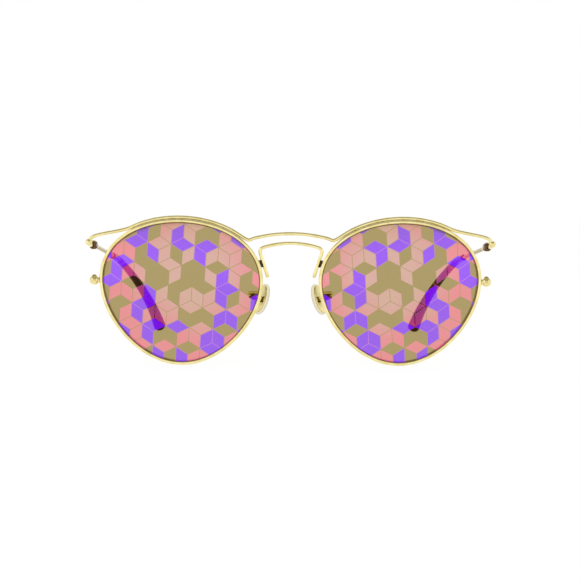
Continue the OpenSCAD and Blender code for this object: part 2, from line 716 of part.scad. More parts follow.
place(false) hinge_temple();  // hinge_temple_right
place(true) hinge_screw();  // hinge_screw_left
place(false) hinge_screw();  // hinge_screw_right
place(true) temple_wire();  // temple_wire_left
place(false) temple_wire();  // temple_wire_right
place(true) temple_tip();  // temple_tip_left
place(false) temple_tip();  // temple_tip_right
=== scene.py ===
import math

import bmesh
import bpy
from mathutils import Matrix, Vector


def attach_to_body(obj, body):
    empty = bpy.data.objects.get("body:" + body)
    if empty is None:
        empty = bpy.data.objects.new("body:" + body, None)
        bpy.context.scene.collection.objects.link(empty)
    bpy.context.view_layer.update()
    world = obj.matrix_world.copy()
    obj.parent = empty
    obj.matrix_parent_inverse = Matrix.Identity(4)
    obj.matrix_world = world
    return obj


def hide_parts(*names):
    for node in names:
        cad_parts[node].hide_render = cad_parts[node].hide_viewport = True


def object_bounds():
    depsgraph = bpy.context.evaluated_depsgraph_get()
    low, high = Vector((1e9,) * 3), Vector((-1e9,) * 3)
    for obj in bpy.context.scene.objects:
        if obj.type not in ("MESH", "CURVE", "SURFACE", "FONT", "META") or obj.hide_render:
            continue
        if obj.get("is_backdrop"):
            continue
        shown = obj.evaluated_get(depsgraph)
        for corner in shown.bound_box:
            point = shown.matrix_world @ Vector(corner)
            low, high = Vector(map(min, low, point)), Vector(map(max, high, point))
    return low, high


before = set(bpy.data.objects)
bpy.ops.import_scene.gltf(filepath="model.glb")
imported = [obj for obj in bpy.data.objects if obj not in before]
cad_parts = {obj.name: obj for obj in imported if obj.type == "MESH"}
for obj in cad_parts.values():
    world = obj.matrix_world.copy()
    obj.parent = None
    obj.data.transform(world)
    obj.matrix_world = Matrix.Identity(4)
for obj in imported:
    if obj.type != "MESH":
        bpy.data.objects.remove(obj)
cadLow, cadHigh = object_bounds()

mm = 0.001
sideNames = {1: "left", -1: "right"}  # +X is the wearer's left
white = (1, 1, 1, 1)


# a shader socket that can stand in an expression
class Signal:
    def __init__(self, sheet, socket):
        self.sheet, self.socket = sheet, socket

    def __add__(self, other):
        return self.sheet.maths("ADD", self, other)

    def __radd__(self, other):
        return self.sheet.maths("ADD", other, self)

    def __sub__(self, other):
        return self.sheet.maths("SUBTRACT", self, other)

    def __rsub__(self, other):
        return self.sheet.maths("SUBTRACT", other, self)

    def __mul__(self, other):
        return self.sheet.maths("MULTIPLY", self, other)

    def __rmul__(self, other):
        return self.sheet.maths("MULTIPLY", other, self)

    def __truediv__(self, other):
        return self.sheet.maths("DIVIDE", self, other)

    def __gt__(self, other):
        return self.sheet.maths("GREATER_THAN", self, other)

    def __lt__(self, other):
        return self.sheet.maths("LESS_THAN", self, other)

    def __abs__(self):
        return self.sheet.maths("ABSOLUTE", self)


# a node tree that is written from left to right
class NodeSheet:
    def __init__(self, tree):
        self.tree = tree
        tree.nodes.clear()

    def node(self, kind, settings=None, inputs=None, output=0):
        made = self.tree.nodes.new(kind)
        for name, value in (settings or {}).items():
            if name == "stops":
                for stop in range(2, len(value)):
                    made.color_ramp.elements.new(stop / len(value))
                for element, (position, colour) in zip(made.color_ramp.elements, value):
                    element.position, element.color = position, colour
            else:
                setattr(made, name, value)
        for key, value in (inputs or {}).items():
            if isinstance(value, Signal):
                self.tree.links.new(value.socket, made.inputs[key])
            else:
                made.inputs[key].default_value = value
        return Signal(self, made.outputs[output]) if made.outputs else None

    def maths(self, operation, *values):
        return self.node("ShaderNodeMath", {"operation": operation}, dict(enumerate(values)))

    def smallest(self, a, b):
        return self.maths("MINIMUM", a, b)

    def largest(self, a, b):
        return self.maths("MAXIMUM", a, b)

    def length(self, a, b):
        return self.maths("SQRT", a * a + b * b)

    def blend(self, share, a, b):  # colours go through Mix
        return self.node("ShaderNodeMix", {"data_type": "RGBA"}, {0: share, 6: a, 7: b}, 2)

    def choose(self, share, a, b):  # the same for plain values
        return share * b + (1 - share) * a

    def smooth(self, value, low, high):  # 0 at low, 1 at high, with soft ends
        inputs = {"Value": value, "From Min": low, "From Max": high}
        return self.node("ShaderNodeMapRange", {"interpolation_type": "SMOOTHSTEP"}, inputs)

    def noise(self, where, scale, detail=2.0, distortion=0.0):
        inputs = {"Vector": where, "Scale": scale, "Detail": detail, "Distortion": distortion}
        return self.node("ShaderNodeTexNoise", {}, inputs, "Fac")

    def place(self):  # a point's place in metres
        return self.node("ShaderNodeTexCoord", output="Object")

    def axes(self, where, names):
        return [self.node("ShaderNodeSeparateXYZ", {}, {0: where}, name) for name in names]

    def bump(self, look, height):
        inputs = {"Strength": look["bump"], "Distance": look["bumpDeep"], "Height": height}
        return self.node("ShaderNodeBump", {}, inputs)

    def principled(self, inputs):
        return self.node("ShaderNodeBsdfPrincipled", {}, inputs)

    def seeThrough(self, colour):
        return self.node("ShaderNodeBsdfTransparent", {}, {"Color": colour})

    def show(self, shader):
        self.node("ShaderNodeOutputMaterial", {}, {"Surface": shader})

    def showMix(self, share, first, second):  # all of the second where the share is 1
        self.show(self.node("ShaderNodeMixShader", {}, {0: share, 1: first, 2: second}))


def paint(red, green, blue):  # a colour as it is seen, 0 to 255, turned linear
    def linear(v):
        v = v / 255
        return v / 12.92 if v <= 0.04045 else ((v + 0.055) / 1.055) ** 2.4

    return linear(red), linear(green), linear(blue), 1


def turned(degrees):
    return math.cos(math.radians(degrees)), math.sin(math.radians(degrees))


def newFinish(name):
    material = bpy.data.materials.new(name)
    material.use_nodes = True
    return material, NodeSheet(material.node_tree)


# polished gold plate with a faint grain; smooth and worn are its roughness at its best and its worst
metalGrain = {
    "cloud": 420, "cloudDetail": 3, "grain": 5200, "deepFrom": 0.35, "deepTo": 0.7,
    "bump": 0.12, "bumpDeep": 4e-6,
}
goldLook = {"bright": paint(246, 233, 172), "deep": paint(232, 216, 146), "smooth": 0.08, "worn": 0.18}
screwLook = {"bright": paint(232, 212, 138), "deep": paint(206, 182, 104), "smooth": 0.16, "worn": 0.3}
# darker gold for the pad boxes: painted shade where the tinted lens shades them
padBoxShadeLook = {"bright": paint(136, 112, 58), "deep": paint(92, 72, 34), "smooth": 0.2, "worn": 0.36}
# nearly black gold for the bridge posts: painted shade and dark reflection of the recess between the wires
postShadeLook = {"bright": paint(74, 58, 26), "deep": paint(34, 24, 8), "smooth": 0.22, "worn": 0.42}
shadedWireLook = {  # the temple wires mirror less at a low angle and are a darker gold: both are painted shade for the grey line they show from the front
    "bright": paint(226, 210, 150), "deep": paint(204, 184, 120), "smooth": 0.1, "worn": 0.24,
    "grazingShade": paint(222, 216, 196),
}


def metalFinish(name, look, darkAt=None):
    material, sheet = newFinish(name)
    where = sheet.place()
    cloud = sheet.noise(where, metalGrain["cloud"], metalGrain["cloudDetail"])
    grain = sheet.noise(where, metalGrain["grain"])
    share = sheet.smooth(cloud, metalGrain["deepFrom"], metalGrain["deepTo"])
    colour = sheet.blend(share, look["bright"], look["deep"])
    if darkAt:  # the hinge barrels turn darker brown within a few millimetres of their axis
        x, y = sheet.axes(where, "XY")
        gap = sheet.length(abs(x) - darkAt["x"], y - darkAt["y"])
        colour = sheet.blend(sheet.smooth(gap, darkAt["out"], darkAt["in"]), colour, darkAt["colour"])
    sheet.show(sheet.principled({
        # where a look gives one, a painted grey shade tints the grazing reflections
        "Base Color": colour, "Metallic": 1.0, "Specular Tint": look.get("grazingShade", white),
        "Roughness": look["smooth"] + grain * cloud * (look["worn"] - look["smooth"]) * 2,
        "Normal": sheet.bump(metalGrain, grain),
    }))
    return material


# the mirror coat: hexagons of three diamond tiles, some violet, some pink and some left bare
# each tile has one draw from 0 to 1 and is pink above pinkFrom and violet above violetFrom, where the first
# number holds in the middle of a lens and the second towards its rim
tileLook = {
    "hexWide": 7.8 * mm, "tilt": 3.7, "gap": 0.06 * mm, "fade": 0.09 * mm, "shift": 50.5, "seed": 19125.25,
    "pinkFrom": (0.56, 0.24), "violetFrom": (1.0, 0.69), "fewIn": 5 * mm, "fewOut": 19 * mm,
    "bare": paint(8, 8, 4), "bareCover": 0.45,
    "pale": paint(192, 97, 184), "paleCover": 0.36,
    "hot": paint(238, 56, 158), "hotCover": 0.54,
    "violet": paint(129, 12, 254), "violetCover": 0.78,
    "seam": paint(170, 16, 254), "seamCover": 0.6,
    "middle": (36.45 * mm, 24.1 * mm), "paleAt": (-3.4 * mm, 5.9 * mm),
    "paleOut": 9 * mm, "hotOut": 24 * mm, "heatSpread": 9 * mm,
    "haze": 900, "hazeDetail": 4, "smooth": 0.07, "hazed": 0.08, "hazeCover": 0.03,
}
root3 = math.sqrt(3)


def nearestHexagon(sheet, u, v):  # by rounding three coordinates that add up to nothing
    q, r = u - v / root3, v * (2 / root3)
    threeWays = (q, r, 0 - q - r)
    wholes = [sheet.maths("FLOOR", k + 0.5) for k in threeWays]
    errors = [abs(whole - k) for whole, k in zip(wholes, threeWays)]
    qWorst = (errors[0] > errors[1]) * (errors[0] > errors[2])
    rWorst = (1 - qWorst) * (errors[1] > errors[2])
    cellQ = sheet.choose(qWorst, wholes[0], 0 - wholes[1] - wholes[2])
    return cellQ, sheet.choose(rWorst, wholes[1], 0 - wholes[0] - wholes[2])


def tileOf(sheet, u, v):  # one tile at the top of a hexagon and one on either side below
    ways = [v, u * (-root3 / 2) - v / 2, u * (root3 / 2) - v / 2]
    most = sheet.largest(sheet.largest(ways[0], ways[1]), ways[2])
    least = sheet.smallest(sheet.smallest(ways[0], ways[1]), ways[2])
    tile = (ways[1] > ways[0]) * (ways[1] > ways[2]) + (ways[2] > ways[0]) * (ways[2] > ways[1]) * 2
    return tile, sheet.smallest((2 * most + least) / root3, 0.5 - (most - least) / root3)


def coatFinish(name, look):
    material, sheet = newFinish(name)
    where = sheet.place()
    x, z = sheet.axes(where, "XZ")
    # the two lenses mirror each other, and the rows rise a little towards the hinges
    across, up = abs(x) - look["middle"][0], z - look["middle"][1]
    c, s = (k / look["hexWide"] for k in turned(look["tilt"]))
    u, v = across * c + up * s, up * c - across * s
    cellQ, cellR = nearestHexagon(sheet, u, v)
    cellU, cellV = cellQ + cellR / 2, cellR * (root3 / 2)
    tile, inset = tileOf(sheet, u - cellQ - cellR / 2, v - cellV)
    seam = 1 - sheet.smooth(inset * look["hexWide"], look["gap"], look["gap"] + look["fade"])
    cell = sheet.node("ShaderNodeCombineXYZ", {}, {
        0: cellQ + look["shift"], 1: cellR + look["shift"], 2: tile + look["seed"],
    })
    draw = sheet.node("ShaderNodeTexWhiteNoise", {}, {"Vector": cell}, "Value")
    # the middle of each lens has more bare tiles and hardly any violet
    fromMiddle = sheet.length(cellU, cellV) * look["hexWide"]
    outward = sheet.smooth(fromMiddle, look["fewIn"], look["fewOut"])
    isViolet = draw > sheet.choose(outward, *look["violetFrom"])
    isPink = (draw > sheet.choose(outward, *look["pinkFrom"])) * (1 - isViolet) * (1 - seam)
    # the pink turns hotter away from its palest place
    reach = sheet.length(across - look["paleAt"][0], up - look["paleAt"][1])
    heat = sheet.smooth(reach + (draw - 0.5) * look["heatSpread"], look["paleOut"], look["hotOut"])
    colour = sheet.blend(isPink, look["bare"], sheet.blend(heat, look["pale"], look["hot"]))
    colour = sheet.blend(isViolet, colour, sheet.blend(seam, look["violet"], look["seam"]))
    cover = sheet.choose(isPink, look["bareCover"], sheet.choose(heat, look["paleCover"], look["hotCover"]))
    cover = sheet.choose(isViolet, cover, sheet.choose(seam, look["violetCover"], look["seamCover"]))
    haze = sheet.noise(where, look["haze"], look["hazeDetail"])
    mirror = sheet.principled({
        "Base Color": colour, "Metallic": 1.0, "Roughness": look["smooth"] + haze * look["hazed"],
    })
    sheet.showMix(cover + (haze - 0.5) * look["hazeCover"], sheet.seeThrough(white), mirror)
    return material


# the lens under the coat: an olive tint on the light that goes through, and a thick edge painted dark,
# partly its own dark and partly painted shade of the rim's groove
tintLook = {
    "through": (0.77, 0.61, 0.266, 1), "index": 1.22, "smooth": 0.03,
    "edge": paint(142, 90, 58), "edgeCover": 0.48, "speckle": 700, "speckled": 0.2, "edgeSmooth": 0.35,
}


def tintFinish(name, look):
    material, sheet = newFinish(name)
    share = sheet.node("ShaderNodeFresnel", {}, {"IOR": look["index"]})
    gloss = sheet.node("ShaderNodeBsdfAnisotropic", {}, {"Color": white, "Roughness": look["smooth"]})
    sheet.showMix(share, sheet.seeThrough(look["through"]), gloss)
    return material


# the edge band: dark brown, partly the edge's own dark and partly painted shade of the rim's groove
def edgeFinish(name, look):
    material, sheet = newFinish(name)
    cover = look["edgeCover"] + sheet.noise(sheet.place(), look["speckle"]) * look["speckled"]
    body = sheet.principled({"Base Color": look["edge"], "Roughness": look["edgeSmooth"]})
    sheet.showMix(cover, sheet.seeThrough(look["through"]), body)
    return material


# polished acetate in dark tortoise
tortoiseLook = {
    "stops": [
        (0.0, paint(58, 10, 10)), (0.47, paint(72, 20, 14)), (0.56, paint(96, 42, 14)),
        (0.64, paint(176, 92, 30)), (0.74, paint(210, 134, 52)),
    ],
    "patch": 150, "patchWarp": 1.6, "patchShare": 0.82, "speck": 620, "speckWarp": 0.8, "speckShare": 0.18,
    "detail": 3, "polish": 2600, "bump": 0.1, "bumpDeep": 6e-6, "smooth": 0.1, "hazed": 0.1,
    "index": 1.28, "coat": 0.06, "coatSmooth": 0.05,
}


def tortoiseFinish(name, look):
    material, sheet = newFinish(name)
    where = sheet.place()
    patches = sheet.noise(where, look["patch"], look["detail"], look["patchWarp"])
    specks = sheet.noise(where, look["speck"], look["detail"], look["speckWarp"])
    mixed = patches * look["patchShare"] + specks * look["speckShare"]
    polish = sheet.noise(where, look["polish"])
    sheet.show(sheet.principled({
        "Base Color": sheet.node("ShaderNodeValToRGB", {"stops": look["stops"]}, {"Fac": mixed}),
        "Roughness": look["smooth"] + polish * look["hazed"], "Normal": sheet.bump(look, polish),
        "IOR": look["index"], "Coat Weight": look["coat"], "Coat Roughness": look["coatSmooth"],
    }))
    return material


# clear soft pads, a little yellowed, that darken where they turn away
siliconeLook = {
    "through": (0.95, 0.92, 0.8, 1), "fresh": paint(186, 172, 116), "aged": paint(150, 132, 80),
    "cover": 0.08, "turnedCover": 0.6, "from": 0.5, "to": 0.92,
    "cloud": 380, "cloudDetail": 3, "agedFrom": 0.3, "agedTo": 0.75,
    "bump": 0.1, "bumpDeep": 2e-5, "smooth": 0.08, "hazed": 0.1,
}


def siliconeFinish(name, look):
    material, sheet = newFinish(name)
    cloud = sheet.noise(sheet.place(), look["cloud"], look["cloudDetail"])
    age = sheet.smooth(cloud, look["agedFrom"], look["agedTo"])
    body = sheet.principled({
        "Base Color": sheet.blend(age, look["fresh"], look["aged"]),
        "Roughness": look["smooth"] + cloud * look["hazed"], "Normal": sheet.bump(look, cloud),
    })
    facing = sheet.node("ShaderNodeLayerWeight", output="Facing")
    turn = sheet.smooth(facing, look["from"], look["to"])
    cover = sheet.choose(turn, look["cover"], look["turnedCover"])
    sheet.showMix(cover, sheet.seeThrough(look["through"]), body)
    return material


# the sizes of the lens and its rim, in millimetres and degrees; the groove's are shares of the bevel
lensSize = {
    "wide": 52.9, "high": 46.7, "gap": 20.0, "thick": 2.0, "curve": 132.5, "wrap": 5.0,
    "pear": 0.176, "lean": 0.5, "lift": 0.15, "bevel": 0.5,
}
rimSize = {
    "depth": 2.0, "wide": 1.15, "wall": 0.7, "seat": 0.05, "splitAt": 9.0, "splitGap": 0.1,
    "groove": 0.85, "grooveFloor": 0.13,
}
rimOut = rimSize["wall"] + rimSize["seat"]
rimIn = rimOut - rimSize["wide"]
lensX = (lensSize["gap"] + lensSize["wide"]) / 2
lensZ = lensSize["high"] / 2 + rimOut


def rawOutline(t):
    c, s = turned(t)
    x = lensSize["wide"] / 2 * (c + lensSize["pear"] * s * c) + lensSize["lean"] * s
    return x, lensSize["high"] / 2 * s + lensSize["lift"] * turned(2 * t)[1]


rawPoints = [rawOutline(t) for t in range(360)]
rawLow = [min(p[k] for p in rawPoints) for k in range(2)]
rawHigh = [max(p[k] for p in rawPoints) for k in range(2)]
boxed = (lensSize["wide"], lensSize["high"])


def outline(t, out=0.0):  # the lens's outline, moved outward by out
    raw = rawOutline(t)
    middle = Vector([
        (raw[k] - (rawLow[k] + rawHigh[k]) / 2) * boxed[k] / (rawHigh[k] - rawLow[k]) for k in range(2)
    ])
    if not out:
        return middle
    way = (outline(t + 0.5) - outline(t - 0.5)).normalized()
    return middle + out * Vector((way[1], -way[0]))


def onLens(p, depth):  # the mid surface is part of a sphere, turned back at its outer side
    y = lensSize["curve"] - math.sqrt(lensSize["curve"] ** 2 - p[0] ** 2 - p[1] ** 2) + depth
    c, s = turned(lensSize["wrap"])
    return Vector((lensX + p[0] * c - y * s, p[0] * s + y * c, lensZ + p[1]))


def rimPoint(t, out, depth):
    base = onLens(outline(t), 0)
    way = onLens(outline(t, 1.0), 0) - base
    way.y = 0
    return base + out * way.normalized() + Vector((0, depth, 0))


# hinge and temple sizes, in millimetres and degrees; tipUp and tipBehind are shares of the tip
hingeSize = {
    "x": 65.9, "y": 11.5, "up": 15.0, "knuckle": 2.6, "socketWall": 0.45, "endBead": 2.3,
    "beadFrom": (1.0, -6.0, 1.2),
}
templeSize = {
    "wire": 1.4, "straight": 80.0, "fall": 5.4, "back": 40.5, "inward": 14.0, "bare": 68.0,
    "sleeve": 2.3, "knee": 2.576, "tip": 5.0, "tipLook": 4.9, "swell": 2.6, "solidEnd": 9.0, "bore": 1.5,
    "tipUp": 0.41, "tipBehind": 0.54,
}
hingeAt = Vector((hingeSize["x"], hingeSize["y"], lensZ + hingeSize["up"]))
fallWay = Vector((0, turned(templeSize["fall"])[0], -turned(templeSize["fall"])[1]))
bendAt = hingeAt + fallWay * templeSize["straight"]
tipEnd = Vector((
    hingeSize["x"] - templeSize["inward"], bendAt.y + templeSize["back"],
    templeSize["tip"] * templeSize["tipUp"],
))
# the frame's middle lies half way between the lenses' front and the ends of the tips
frontY = -lensSize["curve"] * (1 - turned(lensSize["wrap"])[0]) - lensSize["thick"] / 2
middleY = (frontY + tipEnd.y + templeSize["tip"] * templeSize["tipBehind"]) / 2


def inFrame(p, side):  # from the left half's millimetres to metres in the frame
    return Vector((side * p[0], p[1] - middleY, p[2])) * mm


def bezier(points, steps):
    def at(s):
        a, b, c, d = points
        return a * (1 - s) ** 3 + b * 3 * s * (1 - s) ** 2 + c * 3 * s * s * (1 - s) + d * s**3

    return [at(k / steps) for k in range(steps + 1)]


def between(a, b, share):
    return a * (1 - share) + b * share


def straightRun(a, b, steps):
    return [between(a, b, k / steps) for k in range(steps + 1)]


sharpFrom = 38  # degrees between two faces, below which they are shaded as one


def skin(name, points, faces, finishes, looks):
    mesh = bpy.data.meshes.new(name)
    mesh.from_pydata(points, [], faces)
    for finish in finishes:
        mesh.materials.append(finish)
    mesh.polygons.foreach_set("material_index", looks)
    shape = bmesh.new()
    shape.from_mesh(mesh)
    bmesh.ops.recalc_face_normals(shape, faces=shape.faces)
    shape.to_mesh(mesh)
    shape.free()
    mesh.polygons.foreach_set("use_smooth", [True] * len(mesh.polygons))
    mesh.set_sharp_from_angle(angle=math.radians(sharpFrom))
    piece = bpy.data.objects.new(name, mesh)
    bpy.context.collection.objects.link(piece)
    return piece


# a closed skin through rings of equal size; a tip closes an end to a point, and a band names its finish
def loft(name, rings, finishes, side=1, tips=(None, None), bands=None):
    count, bands = len(rings[0]), bands or [0] * (len(rings) - 1)
    points = [inFrame(p, side) for ring in rings for p in ring]
    faces, looks = [], []
    for k, band in enumerate(bands):
        for i in range(count):
            j = (i + 1) % count
            faces.append((k * count + i, k * count + j, (k + 1) * count + j, (k + 1) * count + i))
            looks.append(band)
    for tip, start, band in zip(tips, (0, len(bands) * count), (bands[0], bands[-1])):
        if tip is None:
            faces.append(tuple(range(start, start + count)))
            looks.append(band)
            continue
        points.append(inFrame(tip, side))
        for i in range(count):
            faces.append((start + i, start + (i + 1) % count, len(points) - 1))
            looks.append(band)
    return skin(name, points, faces, finishes, looks)


def ringAt(centre, way, across, radius, sides):
    a = way.cross(across).normalized()
    b = way.cross(a)
    turns = [turned(360 * i / sides) for i in range(sides)]
    return [centre + radius * (a * c + b * s) for c, s in turns]


def wayAlong(path, k):
    return (path[min(k + 1, len(path) - 1)] - path[max(k - 1, 0)]).normalized()


domeTurns = (22, 44, 64, 80)


# a wire along a path with domed ends; radius is one size or one for each point
def wireRings(path, radius, across, sides, domes=(True, True), domeShare=1.0):
    sizes = radius if isinstance(radius, list) else [radius] * len(path)
    rings = [ringAt(p, wayAlong(path, k), across, sizes[k], sides) for k, p in enumerate(path)]
    tips = [None, None]
    for end, place in ((0, 0), (1, len(path) - 1)):
        if not domes[end]:
            continue
        way = wayAlong(path, place)
        reach = way * (1 if end else -1) * sizes[place] * domeShare
        caps = []
        for c, s in map(turned, domeTurns):
            caps.append(ringAt(path[place] + reach * s, way, across, sizes[place] * c, sides))
        tips[end] = path[place] + reach
        rings = rings + caps if end else caps[::-1] + rings
    return rings, tips


def attach(piece, body, slotName, *nodes):
    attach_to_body(piece, body)
    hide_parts(*nodes)
    return piece


gold = metalFinish("polishedGold", goldLook)
# where the hinge barrels turn darker brown, round each hinge axis
hingeDarkZone = {
    "x": hingeSize["x"] * mm, "y": (hingeSize["y"] - middleY) * mm,
    "in": 2.9 * mm, "out": 4.4 * mm, "colour": paint(104, 80, 50),
}
hingeGold = metalFinish("hingeGold", goldLook, hingeDarkZone)
screwGold = metalFinish("screwGold", screwLook)
# the temple wires' darker, greyer gold is painted shade
shadedWireGold = metalFinish("templeWireShadedGold", shadedWireLook)
# the bridge posts' nearly black gold is painted shade
postShadeGold = metalFinish("postPaintedShadeGold", postShadeLook)
# the pad boxes' darker gold is painted shade
padBoxShadedGold = metalFinish("padBoxShadedGold", padBoxShadeLook)
coat = coatFinish("tileMirrorCoat", tileLook)
tint = tintFinish("oliveTint", tintLook)
lensEdge = edgeFinish("lensEdge", tintLook)
tortoise = tortoiseFinish("darkTortoise", tortoiseLook)
silicone = siliconeFinish("clearSilicone", siliconeLook)
print("finishes made")


# the rims: a channel with rounded edges and a groove inside, swept round the outline
rimMesh = {"steps": 260, "arc": 6, "outerRound": 0.56, "innerRound": 0.48, "grooveRound": 0.06}


def roundedLoop(corners, steps):
    loop = []
    for k, (x, y, size) in enumerate(corners):
        here = Vector((x, y))
        if not size:
            loop.append(here)
            continue
        ends = [Vector(corners[k - 1][:2]), Vector(corners[(k + 1) % len(corners)][:2])]
        a, b = [here + (end - here).normalized() * size for end in ends]
        for i in range(steps + 1):
            s = i / steps
            loop.append(a * (1 - s) ** 2 + here * 2 * s * (1 - s) + b * s * s)
    return loop


rimHalf = rimSize["depth"] / 2
groove, floorHalf = (lensSize["bevel"] * rimSize[k] for k in ("groove", "grooveFloor"))
rimSection = roundedLoop([
    (rimOut, -rimHalf, rimMesh["outerRound"]), (rimOut, rimHalf, rimMesh["outerRound"]),
    (rimIn, rimHalf, rimMesh["innerRound"]), (rimIn, groove, rimMesh["grooveRound"]),
    (rimSize["seat"], floorHalf, 0), (rimSize["seat"], -floorHalf, 0),
    (rimIn, -groove, rimMesh["grooveRound"]), (rimIn, -rimHalf, rimMesh["innerRound"]),
], rimMesh["arc"])
splitTurn = math.degrees(rimSize["splitGap"] / lensSize["wide"])
start, sweep = rimSize["splitAt"] + splitTurn, 360 - 2 * splitTurn
rimTurns = [start + sweep * k / rimMesh["steps"] for k in range(rimMesh["steps"] + 1)]
rimRings = [[rimPoint(t, p[0], p[1]) for p in rimSection] for t in rimTurns]
for side, sideName in sideNames.items():
    rim = loft("rim_" + sideName + "_look", rimRings, [gold], side)
    attach(rim, "front", "gold_frame", "rim_" + sideName)
print("rims made")


# the lenses: a coated front, a tinted back and a bevelled edge whose dark, partly painted groove shade,
# shows through the coat
lensMesh = {"around": 240, "rings": 26, "shoulder": 0.8, "band": 0.2}
thick, bevel = lensSize["thick"] / 2, lensSize["bevel"]
shoulder, inner = bevel * lensMesh["shoulder"], -bevel - lensMesh["band"]
lensTurns = [360 * i / lensMesh["around"] for i in range(lensMesh["around"])]
shares = [k / lensMesh["rings"] for k in range(1, lensMesh["rings"] + 1)]


def faceRing(share, depth):
    return [onLens(outline(t, inner) * share, depth) for t in lensTurns]


def edgeRing(out, depth):
    return [rimPoint(t, out, depth) for t in lensTurns]


front = [faceRing(share, -thick) for share in shares]
back = [faceRing(share, thick) for share in reversed(shares)]
edge = [
    edgeRing(-bevel, -thick), edgeRing(-bevel, -shoulder), edgeRing(0, 0),
    edgeRing(-bevel, shoulder), edgeRing(-bevel, thick),
]
bands = [0] * len(front) + [2] * len(edge) + [1] * (len(back) - 1)
tips = onLens((0, 0), -thick), onLens((0, 0), thick)
for side, sideName in sideNames.items():
    finishes = [coat, tint, lensEdge]
    lens = loft("lens_" + sideName + "_look", front + edge + back, finishes, side, tips, bands)
    attach(lens, "front", "mirror_lens", "lens_" + sideName)
print("lenses made")

# the brow wire: an arch over the nose, a dip on either side, a run on each rim and the way to the hinge
browSize = {
    "wire": 1.15, "rise": 2.0, "dipUp": 17.5, "dipX": 13.7, "back": 0.6, "archShare": 0.86,
    "joinAt": 128, "leaveAt": 59, "offRim": 0.03, "dipPull": 2.52, "joinPull": 5.44, "leavePull": 4.025,
    "curl": 51, "curlPull": 2.0125, "straightEnd": 1.955, "endLean": 0.1, "endIn": 0.3, "endOver": 0.2,
}
browMesh = {"sides": 24, "arch": 14, "curve": 30, "run": 60}
wireR = browSize["wire"] / 2
onRim = rimOut + wireR + browSize["offRim"]
endBeadAt, endBeadR = hingeAt + Vector(hingeSize["beadFrom"]), hingeSize["endBead"] / 2
c, s = turned(browSize["curl"])
endWay, endSide = Vector((c, browSize["endLean"], -s)).normalized(), Vector((s, 0, c))
browEnd = endBeadAt + endBeadR * (browSize["endIn"] * endWay + browSize["endOver"] * endSide)
browTurn = browEnd - endWay * browSize["straightEnd"]
archR = (browSize["dipX"] ** 2 + browSize["rise"] ** 2) / (2 * browSize["rise"])
archTurn = math.degrees(math.asin(browSize["dipX"] / archR)) * browSize["archShare"]
archTop = lensZ + browSize["dipUp"] + browSize["rise"]


def arcPoint(radius, top, angle):  # on an arc over the nose
    c, s = turned(angle)
    return Vector((radius * s, browSize["back"], top - radius * (1 - c)))


def arcWay(angle):
    c, s = turned(angle)
    return Vector((c, 0, -s))


def rimWay(t):  # along the rim, towards the outer side
    return (rimPoint(t - 1, onRim, 0) - rimPoint(t + 1, onRim, 0)).normalized()


def bothHalves(path):
    return [Vector((-p.x, p.y, p.z)) for p in path[:0:-1]] + path


joinTurn, leaveTurn = browSize["joinAt"], browSize["leaveAt"]
archEnd = arcPoint(archR, archTop, archTurn)
joinAt, leaveAt = (rimPoint(t, onRim, 0) for t in (joinTurn, leaveTurn))
dip = [
    archEnd, archEnd + arcWay(archTurn) * browSize["dipPull"],
    joinAt - rimWay(joinTurn) * browSize["joinPull"], joinAt,
]
away = [
    leaveAt, leaveAt + rimWay(leaveTurn) * browSize["leavePull"],
    browTurn - endWay * browSize["curlPull"], browTurn,
]
runTurns = [joinTurn + (leaveTurn - joinTurn) * k / browMesh["run"] for k in range(1, browMesh["run"] + 1)]
browHalf = [arcPoint(archR, archTop, archTurn * k / browMesh["arch"]) for k in range(browMesh["arch"] + 1)]
browHalf += bezier(dip, browMesh["curve"])[1:] + [rimPoint(t, onRim, 0) for t in runTurns]
browHalf += bezier(away, browMesh["curve"])[1:] + [browEnd]
ahead = Vector((0, 1, 0))
rings, tips = wireRings(bothHalves(browHalf), wireR, ahead, browMesh["sides"])
attach(loft("brow_wire_look", rings, [gold], 1, tips), "front", "gold_frame", "brow_wire")

# the bridge wire: a flatter arch with bent corners and two legs that end free
bridgeSize = {
    "under": 2.0, "arc": 30.0, "cornerX": 10.6, "reach": 2.4, "drop": 0.25, "pull": 0.83,
    "endUp": 5.5, "endX": 7.7,
}
bridgeMesh = {"arch": 12, "bend": 18, "leg": 10}
reach = bridgeSize["reach"]
bridgeTop = archTop - browSize["wire"] - bridgeSize["under"]
bridgeTurn = math.degrees(math.asin((bridgeSize["cornerX"] - reach) / bridgeSize["arc"]))
shoulderAt = arcPoint(bridgeSize["arc"], bridgeTop, bridgeTurn)
cornerAt = Vector((bridgeSize["cornerX"], browSize["back"], shoulderAt.z - reach * bridgeSize["drop"]))
legEnd = Vector((bridgeSize["endX"], browSize["back"], lensZ + bridgeSize["endUp"]))
legWay = (legEnd - cornerAt).normalized()
legStart = cornerAt + legWay * reach
pull = reach * bridgeSize["pull"]
bend = [shoulderAt, shoulderAt + arcWay(bridgeTurn) * pull, legStart - legWay * pull, legStart]
bridgeHalf = [
    arcPoint(bridgeSize["arc"], bridgeTop, bridgeTurn * k / bridgeMesh["arch"])
    for k in range(bridgeMesh["arch"] + 1)
]
bridgeHalf += bezier(bend, bridgeMesh["bend"])[1:] + straightRun(legStart, legEnd, bridgeMesh["leg"])[1:]
rings, tips = wireRings(bothHalves(bridgeHalf), wireR, ahead, browMesh["sides"])
attach(loft("bridge_wire_look", rings, [gold], 1, tips), "front", "gold_frame", "bridge_wire")
print("brow wire and bridge wire made")

